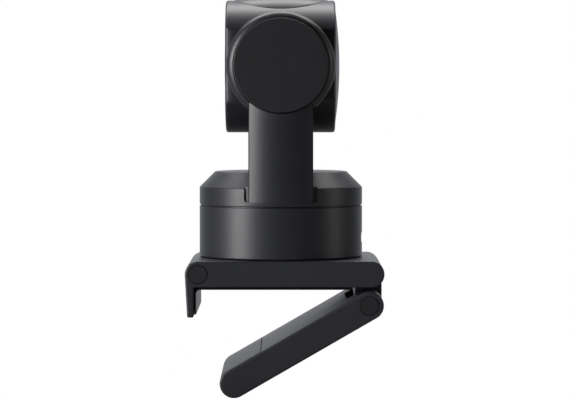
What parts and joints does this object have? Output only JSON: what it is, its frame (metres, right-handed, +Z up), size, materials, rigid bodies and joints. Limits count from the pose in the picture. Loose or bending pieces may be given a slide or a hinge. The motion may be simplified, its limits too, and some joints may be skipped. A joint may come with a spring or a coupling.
{
  "type": "pan-tilt webcam on a folding clip",
  "caption": "Desk webcam with a round tilting head on one arm, a panning base, and a folding clip that sits on a monitor's top edge or takes a tripod.",
  "frame": {"origin": "on the pan axis, on the flat underside of the clip's rubber liner, which rests on a monitor's top edge", "axes": "+Z up along the pan axis; -Y is where the lens looks at rest and the side of the clip's front lip; +X is the side of the tilt arm"},
  "size_m": [0.06, 0.0693, 0.1405],
  "materials": {
    "shell_plastic": "fine satin moulding",
    "clip_plastic": "fine matte moulding",
    "cap_plastic": "matte dark",
    "rubber": "matte",
    "black_glass": "gloss, printed black behind",
    "lens_glass": "coated",
    "indicator": "translucent window",
    "steel": "machined",
    "brass": "machined",
    "winding": "enamelled copper wire",
    "board": "solder mask",
    "black_plastic": "matte black",
    "aluminium": "extruded"
  },
  "bodies": {
    "clip": {"clip_plate": "clip_plastic", "clip_liner": "rubber", "tripod_insert": "brass", "front_pin": "steel", "front_pin_cap_left": "cap_plastic", "front_pin_cap_right": "cap_plastic", "rear_knuckle": "clip_plastic", "knuckle_pin": "steel", "leg_hinge_pin": "steel", "base_screw_1": "steel", "base_screw_2": "steel", "base_screw_3": "steel", "base_housing": "shell_plastic", "base_deck": "shell_plastic", "pan_bearing": "steel", "pan_stator": "winding", "main_board": "board", "usb_socket": "steel"},
    "leg": {"rear_leg": "clip_plastic", "leg_pad": "rubber", "leg_pin_cap_left": "cap_plastic", "leg_pin_cap_right": "cap_plastic", "leg_washer_left": "steel", "leg_washer_right": "steel"},
    "turntable": {"turntable_arm": "shell_plastic", "turntable_floor": "shell_plastic", "pan_shaft": "steel", "pan_rotor": "steel", "floor_screw_1": "steel", "floor_screw_2": "steel", "floor_screw_3": "steel", "arm_inner_cover": "shell_plastic", "cover_screw_1": "steel", "cover_screw_2": "steel", "tilt_bearing": "steel", "tilt_stator": "winding", "tilt_motor_cap": "cap_plastic"},
    "head": {"head_shell": "shell_plastic", "rear_cover": "shell_plastic", "top_cap": "shell_plastic", "front_glass": "black_glass", "indicator_light": "indicator", "lens_ring": "shell_plastic", "lens_barrel": "black_plastic", "lens_front": "lens_glass", "lens_rear": "lens_glass", "lens_holder": "black_plastic", "image_sensor": "black_plastic", "sensor_board": "board", "heat_sink": "aluminium", "logic_board": "board", "microphone_board": "board", "tilt_shaft": "steel", "tilt_rotor": "steel"}
  },
  "joints": [
    {"name": "pan", "type": "hinge", "parent": "clip", "child": "turntable", "pos_m": [0, 0, 0.0287], "axis": [0, 0, 1], "range_deg": [-150, 150]},
    {"name": "tilt", "type": "hinge", "parent": "turntable", "child": "head", "pos_m": [0, 0, 0.0778], "axis": [1, 0, 0], "range_deg": [-35, 90]},
    {"name": "leg_fold", "type": "hinge", "parent": "clip", "child": "leg", "pos_m": [0, 0.03085, -0.0055], "axis": [1, 0, 0], "range_deg": [-28, 95]}
  ]
}
